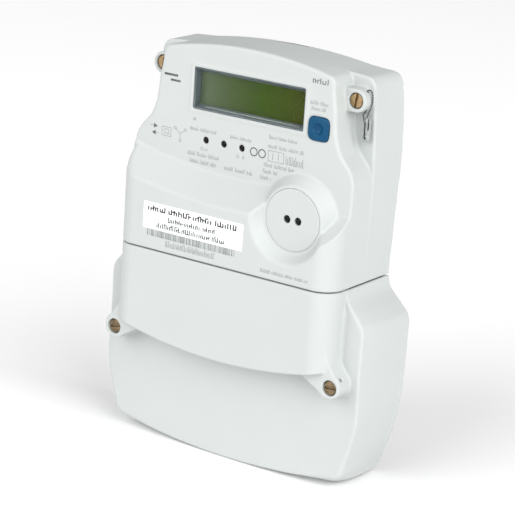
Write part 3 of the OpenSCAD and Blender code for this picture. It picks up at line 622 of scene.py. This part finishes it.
def cover_field(xs, ds, zs):
    """The terminal cover as a shell with its front block and two lugs."""
    X, D, Z = xs[:, None, None], ds[None, :, None], zs[None, None, :]
    back = outline_distance(SKIRT_BACK, xs, zs)[:, None, :]
    front = outline_distance(SKIRT_FRONT, xs, zs)[:, None, :]
    t = (np.maximum(D, 0) / SKIRT) ** 3
    edge = 1.2 + 1.2 * np.clip((-108 - Z) / 22, 0, 1) * np.clip((np.abs(X) - 40) / 25, 0, 1)
    body = soft_max(back * (1 - t) + front * t, D - SKIRT, edge)
    block = soft_max(face_plan(X, D), np.hypot(X, Z - 178.5) - 260, 0.6)
    body = soft_min(body, block, 1.8 * np.clip((-39 - Z) / 4, 0.02, 1))
    lug_line = [(40, -74), (45, -74.2), (65.1, -85.5), (73.1, -77.1), (62, -60.8), (55, -60)]
    arm = outline_distance([np.array(p, float) for p in lug_line], np.abs(xs), zs)[:, None, :]
    around = np.hypot(np.abs(X) - COVER_SCREW_X, Z - COVER_SCREW_Z)
    arm = soft_min(arm, around - BOSS_R, 2.0)
    arm = soft_max(arm, D - 51.5, 0.9)
    body = soft_min(body, arm, 1.2)

    shell = np.maximum(body, -(body + WALL))
    top = np.maximum(np.maximum(body, 36 - D), COVER_Z - WALL - Z)
    core = np.maximum(np.maximum(arm, body), np.maximum(around - 8.5, 38.5 - D))
    shell = np.minimum(np.minimum(shell, top), core)

    def cut(shape, start, radius):
        return soft_max(shell, np.minimum(-shape, D - start), radius)

    shell = cut(around - 4.1, COVER_SEAT, 0.3)
    shell = cut(around - 2.15, 30, 0.1)
    # The sealing hole through each lug's slanted side.
    u = (np.abs(X) - 71.9) * 0.827 + (Z + 76.2) * 0.562
    v = -(np.abs(X) - 71.9) * 0.562 + (Z + 76.2) * 0.827
    shell = np.maximum(shell, np.minimum(1.0 - np.hypot(v, D - 47.8), 3.2 - np.abs(u)))
    gate = np.minimum(np.minimum(62 - np.abs(X), 30 - D), -127 - Z)
    shell = soft_max(shell, gate, 0.4)
    shell = soft_max(shell, Z - COVER_Z, 0.3)
    return np.maximum(shell, 0.3 - D)


xs = lines((-82.8, 82.8, 0.6))
ds = lines((-0.5, 3.1, 0.6), (3.1, 28.1, 1.8), (28.1, 36, 0.8), (36, 57.3, 0.5))
zs = lines((-140.2, -31, 0.6))
cover = net_piece("terminal_cover_shell", cover_field(xs, ds, zs), xs, ds, zs, mat["cover_plastic"], "cover")
stands_for(cover, "terminal_cover")


# ---------------------------------------------------------------- screws

def screw_piece(name, node, spots, seat, tip, turn, material, body="meter"):
    """Slotted cheese-head screws with eased edges, one for each x, z in spots; turn is the slot's angle."""
    parts = []
    for cx, cz in spots:
        us = lines((-4.1, 4.1, 0.16))
        dd = lines((tip - 0.4, seat - 0.5, 0.9), (seat - 0.5, seat + 3.5, 0.16))
        U, D, V = us[:, None, None], dd[None, :, None], us[None, None, :]
        rho = np.hypot(U, V)
        crown = D - (seat + 3.1 - 0.018 * rho ** 2)
        head = soft_max(soft_max(rho - 3.64, crown, 0.3), seat + 0.1 - D, 0.15)
        a = math.radians(turn)
        across = np.abs(-U * math.sin(a) + V * math.cos(a))
        slot = np.minimum(0.66 - across, D - (seat + 1.5))
        head = soft_max(head, slot, 0.12)
        shank = np.maximum(np.maximum(rho - 2.1, D - seat - 0.5), tip - D)
        verts, faces = surface_net(np.minimum(head, shank)[:, ::-1, :], us, -dd[::-1], us)
        verts = verts + np.array((cx, 0, cz))
        parts.append((verts.tolist(), faces.tolist()))
    piece = join_parts(name, parts, mat[material], body, sharp=50)
    stands_for(piece, node)


screw_piece("case_screws_turned", "case_screws", [(-CASE_SCREW_X, CASE_SCREW_Z), (CASE_SCREW_X, CASE_SCREW_Z)],
            CASE_SEAT, 13, 82, "screw_brass")
# The cover screws take the darker brass: their duller tone plus painted shade in the gap round each head.
for side, sign, turn in (("left", -1, 12), ("right", 1, 4)):
    node = "cover_screw_" + side
    screw_piece(node + "_turned", node, [(sign * COVER_SCREW_X, COVER_SCREW_Z)], COVER_SEAT, 26, turn,
                "screw_dull_and_shaded", node)


# ---------------------------------------------------------------- button, lamps and port

us = lines((-7.6, 7.6, 0.2))
ds = lines((32.9, 38.2, 0.6), (38.2, 44, 0.2))
U, D, V = us[:, None, None], ds[None, :, None], us[None, None, :]
rho = np.hypot(U, V)
cap = soft_max(squircle(U, V, 6.02), D - (43.45 - 0.010 * rho ** 2), 0.7)
dimple = 3.7 - np.sqrt(rho ** 2 + (D - 45.4) ** 2)
cap = soft_max(cap, dimple, 0.35)
cap = np.maximum(cap, 39.8 - D)
flange = np.maximum(squircle(U, V, 7.05, 6.0), np.abs(D - 39.3) - 0.68)
stem = np.maximum(rho - 2, np.maximum(33.6 - D, D - 39.5))
verts, faces = surface_net(np.minimum(np.minimum(cap, flange), stem)[:, ::-1, :], us, -ds[::-1], us)
button = make_mesh("display_button_cap", verts + np.array((BUTTON_X, 0, BUTTON_Z)), faces,
                   mat["button_plastic"], "button")
stands_for(button, "display_button")

for k in range(3):
    at = LAMP_X + LAMP_PITCH * k
    profile = [(0.0, 41.98), (0.5, 41.95), (1.0, 41.82), (1.4, 41.6), (1.62, 41.3), (1.69, 40.9), (1.69, 31.4),
               (2.0, 31.4), (2.55, 31.3), (2.6, 31.2), (2.6, 29.43), (0.0, 29.43)]
    lens = join_parts("test_lamp_%d_lens" % (k + 1), [lathe(profile, at, LAMP_Z)], mat["lamp_resin"], merge=True,
                      sharp=40)
    stands_for(lens, "test_lamp_%d" % (k + 1))

us = lines((-16.4, 16.4, 0.33))
ds = lines((47.9, 50.6, 0.15))
U, D, V = us[:, None, None], ds[None, :, None], us[None, None, :]
rho = np.hypot(U, V)
disc = soft_max(rho - 15.92, np.abs(D - 49.3) - 1.0, 0.3)
for k in (-1, 1):
    disc = soft_max(disc, 2.06 - np.hypot(U - k * EYE_X, V), 0.18)
verts, faces = surface_net(disc[:, ::-1, :], us, -ds[::-1], us)
disc = make_mesh("port_disc_insert", verts + np.array((PORT_X, 0, 0)), faces, mat["port_plastic"])
stands_for(disc, "port_disc")

for k, node in ((-1, "port_emitter"), (1, "port_receiver")):
    at = PORT_X + k * EYE_X
    profile = [(0.0, 49.98), (0.6, 49.93), (1.2, 49.75), (1.65, 49.4), (1.9, 48.9), (1.98, 48.3), (1.98, 48.0),
               (2.45, 48.0), (2.5, 47.9), (2.5, 39.35), (0.0, 39.35)]
    parts = [lathe(profile, at, 0.0)]
    parts += [tube([(at, -39.4, z), (at, -34.0, z), (at, -29.43, z)], 0.3) for z in (-1.27, 1.27)]
    eye = join_parts(node + "_lens", parts, mat["eye_resin"], merge=True, sharp=40)
    stands_for(eye, node)


# ---------------------------------------------------------------- seal

def twisted(path, coil_r, pitch, phase):
    """Points of one strand that winds round a path."""
    pts = [Vector(p) for p in path]
    out, run = [], 0.0
    ref = Vector((0, 1, 0))
    for i, p in enumerate(pts):
        if i:
            run += (p - pts[i - 1]).length
        d = (pts[min(i + 1, len(pts) - 1)] - pts[max(i - 1, 0)]).normalized()
        side = d.cross(ref).normalized()
        a = 2 * math.pi * run / pitch + phase
        out.append(tuple(p + (ref * math.cos(a) + side * math.sin(a)) * coil_r))
    return out


# Up from the crimp, through the boss, over it and back down outside.
route = smooth_line([(61.7, 50.6), (61.4, 52.5), (61.0, 54.0), (61.3, 55.1), (62.1, 55.9), (62.4, 57.2), (62.4, 60),
                     (62.4, 63), (62.4, 65.4), (62.5, 66.5), (63.0, 67.0), (63.7, 67.1), (64.5, 66.7), (65.2, 65.6),
                     (65.6, 64.1), (65.7, 62.4), (65.7, 60.9), (65.3, 58.9), (64.2, 55.9), (63.4, 53.4),
                     (63.2, 50.8)], 14)
route = [(p[0], -SEAL_D, p[1]) for p in route]
parts = [tube(twisted(route, 0.22, 2.4, ph), 0.25, 8) for ph in (0.0, math.pi)]
wire = join_parts("seal_wire_twisted", parts, mat["wire_steel"], "seal")
stands_for(wire, "seal_wire")

xx = lines((61.1, 66.3, 0.14))
dd = lines((26.3, 29.7, 0.14))
zz = lines((40.6, 53.8, 0.16))
X, D, Z = xx[:, None, None], dd[None, :, None], zz[None, None, :]
waist = 0.25 * np.cos((Z - 41) * 2 * math.pi / 4.1)
hull = box_distance(X, D, 63.7, SEAL_D, 4.1, 2.3, 0.9) + 0.2 + waist * 0.6
hull = soft_max(hull, np.abs(Z - 47.2) - 6.1, 0.7)
keyhole = 0.75 - np.hypot(X - 63.6, Z - 43.0)
hull = soft_max(hull, keyhole, 0.2)
crimp = net_piece("seal_crimp_body", hull, xx, dd, zz, mat["crimp_plastic"], "seal")
stands_for(crimp, "seal_crimp")
core = [tube([(62.8, -28.6, 52.9), (63.0, -29.1, 50.5), (63.2, -29.15, 46.5), (63.2, -29.1, 43.6)], 0.34, 10),
        tube([(64.8, -28.7, 52.9), (65.15, -29.1, 50.2), (65.05, -29.15, 47.4)], 0.34, 10),
        tube([(63.2, -29.1, 44.2), (63.3, -29.15, 43.5), (63.6, -29.1, 43.0)], 0.42, 10)]
core = join_parts("seal_crimp_wires", core, mat["wire_dark"], "seal")


# ---------------------------------------------------------------- sticker and printed marks

def prism(name, outline, d0, d1, material, body="meter"):
    """A flat plate with a free outline, between two depths."""
    n = len(outline)
    verts = [(x * MM, -d * MM, z * MM) for d in (d0, d1) for x, z in outline]
    faces = [list(range(n)), [n + k for k in reversed(range(n))]]
    faces += [[k, n + k, n + (k + 1) % n, (k + 1) % n] for k in range(n)]
    faces = [list(reversed(f)) for f in faces]
    mesh = bpy.data.meshes.new(name)
    mesh.from_pydata(verts, [], faces)
    mesh.materials.append(material)
    ob = bpy.data.objects.new(name, mesh)
    bpy.context.scene.collection.objects.link(ob)
    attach(ob, body)
    return ob


def round_rect(x0, x1, z0, z1, r):
    """The outline of a rectangle with round corners."""
    pts = []
    for cx, cz, start in ((x1 - r, z1 - r, 0), (x0 + r, z1 - r, 90), (x0 + r, z0 + r, 180), (x1 - r, z0 + r, 270)):
        pts += [tuple(p) for p in arc((cx, cz), r, start, start + 90, 6)]
    return pts


sticker = prism("sticker_plain", round_rect(-48.85, 13.85, -20.25, -6.15, 0.5), 56.31, 56.42, mat["sticker_paper"])
stands_for(sticker, "rating_sticker")


def strokes(x0, x1, z, height, weight, d0, d1, word=4.0, gap=(2.4, 3.4)):
    """A row of plain upright strokes in groups, standing in for a printed line."""
    items, x, left = [], x0, word
    while x < x1 - weight:
        h = height * random.choice((0.62, 0.66, 0.7, 0.95, 1.0))
        low = z - height / 2
        items.append(((x, x + weight), (d0, d1), (low, low + h)))
        if random.random() < 0.6:
            wide = weight * random.uniform(1.2, 2.2)
            at = low + h * random.choice((0.0, 0.5, 0.86))
            if x + weight + wide < x1:
                items.append(((x + weight, x + weight + wide), (d0, d1), (at, at + weight * 0.8)))
        step = weight * random.uniform(*gap)
        x += step
        left -= step
        if left < 0:
            x += height * 0.45
            left = word * random.uniform(0.7, 1.5)
    return items


on_sticker = (56.40, 56.45)
rows = (strokes(-46.0, 10.0, -9.1, 2.9, 0.78, *on_sticker, word=11, gap=(1.7, 2.3))
        + strokes(-33.0, -3.1, -13.6, 2.7, 0.56, *on_sticker, word=9, gap=(1.8, 2.4))
        + strokes(-40.0, 3.6, -17.6, 2.6, 0.56, *on_sticker, word=14, gap=(1.8, 2.4)))
boxes("sticker_rows", rows, mat["print_black"])

on_face = (56.2, 56.33)
bars, x = [], -45.9
while x < 9.6:
    w = random.choice((0.28, 0.28, 0.55, 0.8))
    bars.append(((x, min(x + w, 9.8)), on_face, (-24.0, -20.5)))
    x += w + random.choice((0.3, 0.3, 0.55, 0.85))
boxes("bar_strip", bars, mat["print_light"])
boxes("bar_strip_row", strokes(-33.8, -2.3, -26.4, 3.3, 0.3, *on_face, word=40), mat["print_light"])
boxes("face_row", strokes(25.6, 54.2, -27.0, 1.9, 0.24, *on_face, word=6), mat["print_light"])

on_panel = (42.2, 42.325)
rows = []
for x0, x1, z, h in ((-31.1, -28.9, 38.3, 2.0), (-32.5, -15.6, 33.2, 1.9), (-7.3, 6.7, 33.2, 1.9),
                     (16.3, 34.5, 37.4, 2.0), (15.9, 37.4, 32.7, 2.0), (14.3, 32.3, 22.9, 2.2),
                     (13.9, 22.4, 19.5, 2.2), (12.3, 19.1, 16.2, 2.2), (-33.3, -13.0, 20.3, 2.2),
                     (-31.6, -14.8, 16.5, 2.2), (-9.7, 7.8, 16.5, 2.2), (39.0, 49.9, 59.1, 2.0),
                     (39.9, 48.6, 56.3, 2.0), (-22.6, -20.8, 23.6, 1.7), (0.8, 2.2, 23.8, 2.0)):
    rows += strokes(x0, x1, z, h, 0.22, *on_panel, word=5)
boxes("panel_rows", rows, mat["print_light"])
boxes("panel_digits", strokes(27.0, 37.8, 27.3, 4.6, 0.3, *on_panel, word=30), mat["print_light"])
boxes("panel_heading", strokes(39.4, 49.9, 70.1, 2.9, 0.5, *on_panel, word=30), mat["print_grey"])
boxes("panel_blank_plate", [((-50.6, -42.0), on_panel, (57.9, 59.1)), ((-46.5, -40.2), on_panel, (55.3, 56.4))],
      mat["print_grey"])


def frame_bars(x0, x1, z0, z1, w, depths):
    """The four bars of a rectangular frame."""
    return [((x0, x1), depths, (z1 - w, z1)), ((x0, x1), depths, (z0, z0 + w)),
            ((x0, x0 + w), depths, (z0 + w, z1 - w)), ((x1 - w, x1), depths, (z0 + w, z1 - w))]


marks = frame_bars(-50.3, -44.4, 26.0, 30.9, 0.24, on_panel) + frame_bars(-48.6, -46.0, 27.2, 29.8, 0.24, on_panel)
marks += frame_bars(16.3, 25.8, 24.9, 30.5, 0.24, on_panel) + [((19.0, 19.3), on_panel, (26.0, 29.4)),
                                                                  ((22.4, 22.7), on_panel, (26.0, 29.4))]
marks += [((-58.0, -55.7), on_panel, (30.1, 30.35)), ((-54.3, -52.2), on_panel, (26.5, 26.75))]
boxes("panel_symbols", marks, mat["print_light"])
prism("panel_arrow_in", [(-55.7, 28.95), (-53.1, 30.25), (-55.7, 31.5)], *on_panel, mat["print_grey"])
prism("panel_arrow_out", [(-54.3, 25.4), (-54.3, 27.9), (-56.8, 26.65)], *on_panel, mat["print_grey"])
star = [ring_plate(x, z, 0.55, 0.85, *on_panel, 24) for x, z in ((-41.9, 31.3), (-35.4, 31.3), (-38.6, 25.3))]
join_parts("panel_star_rings", star, mat["print_light"])
for k, (x, z) in enumerate(((-41.3, 30.8), (-36.0, 30.8), (-38.6, 26.2))):
    dx, dz = x + 38.6, z - 28.7
    n = math.hypot(dx, dz)
    ox, oz = -dz / n * 0.13, dx / n * 0.13
    prism("panel_star_arm_%d" % (k + 1), [(-38.6 - ox, 28.7 - oz), (x - ox, z - oz), (x + ox, z + oz),
                                           (-38.6 + ox, 28.7 + oz)], *on_panel, mat["print_light"])
lamp_rings = [ring_plate(x, z, 0.6, 0.85, *on_panel, 24) for x, z in ((-24.4, 23.6), (-2.0, 23.8))]
join_parts("panel_lamp_rings", lamp_rings, mat["print_light"])
rings = [ring_plate(7.6, 27.9, 1.75, 2.35, *on_panel, 40), ring_plate(12.6, 27.9, 1.75, 2.35, *on_panel, 40)]
join_parts("panel_rings", rings, mat["print_grey"])

# Fine contact marks along the bezel's lower edge.
marks_z = (44.5848, 44.7948)
starts = [-25.5 + 1.3 * k for k in range(44)]
dots = [((x, x + 0.7), (38.3, 39.6), marks_z) for x in starts]
boxes("bezel_contact_row", dots, mat["diffuser_plastic"])


# ---------------------------------------------------------------- camera, light and floor

azimuth, elevation, roll = (math.radians(v) for v in (33.538, 16.081, 3.995))
forward = Vector((-math.sin(azimuth) * math.cos(elevation), math.cos(azimuth) * math.cos(elevation),
                  -math.sin(elevation)))
level = forward.cross(Vector((0, 0, 1))).normalized()
above = level.cross(forward)
right = level * math.cos(roll) + above * math.sin(roll)
up = above * math.cos(roll) - level * math.sin(roll)
camera = bpy.data.objects.new("camera", bpy.data.cameras.new("camera"))
camera.data.sensor_width = 36
camera.data.lens = 143.69
camera.data.clip_start, camera.data.clip_end = 0.05, 20
camera.matrix_world = Matrix((right, up, -forward)).transposed().to_4x4()
camera.location = Vector((568.19, -878.01, 263.03)) * MM
bpy.context.scene.collection.objects.link(camera)
bpy.context.scene.camera = camera

world = bpy.data.worlds.new("studio")
world.use_nodes = True
world.node_tree.nodes["Background"].inputs["Color"].default_value = (1, 1, 1, 1)
world.node_tree.nodes["Background"].inputs["Strength"].default_value = 0.42
bpy.context.scene.world = world


def lamp(name, at, target, size, power):
    """A large round soft light, hidden from the camera."""
    data = bpy.data.lights.new(name, "AREA")
    data.shape = "DISK"
    data.size = size
    data.energy = power
    ob = bpy.data.objects.new(name, data)
    ob.location = Vector(at)
    ob.rotation_euler = (Vector(target) - Vector(at)).to_track_quat("-Z", "Y").to_euler()
    ob.visible_camera = False
    bpy.context.scene.collection.objects.link(ob)


lamp("key", (8.86, -3.22, 4.84), (0, 0, -0.03), 10.6, 1270.0)
lamp("fill", (-3.22, -8.86, 4.84), (0, 0, -0.03), 10.6, 875.0)

floor_z = -139.3 * MM
floor_mesh = bpy.data.meshes.new("floor")
floor_mesh.from_pydata([(-6, -6, floor_z), (6, -6, floor_z), (6, 6, floor_z), (-6, 6, floor_z)], [], [(0, 1, 2, 3)])
floor = bpy.data.objects.new("floor", floor_mesh)
floor_mesh.materials.append(surface("floor_pale", (0.98, 0.98, 0.98), 0.8, vary=0.004, grain=60, blotch=4))
bpy.context.scene.collection.objects.link(floor)

view = bpy.context.scene.view_settings
view.view_transform = "Standard"
view.look = "None"
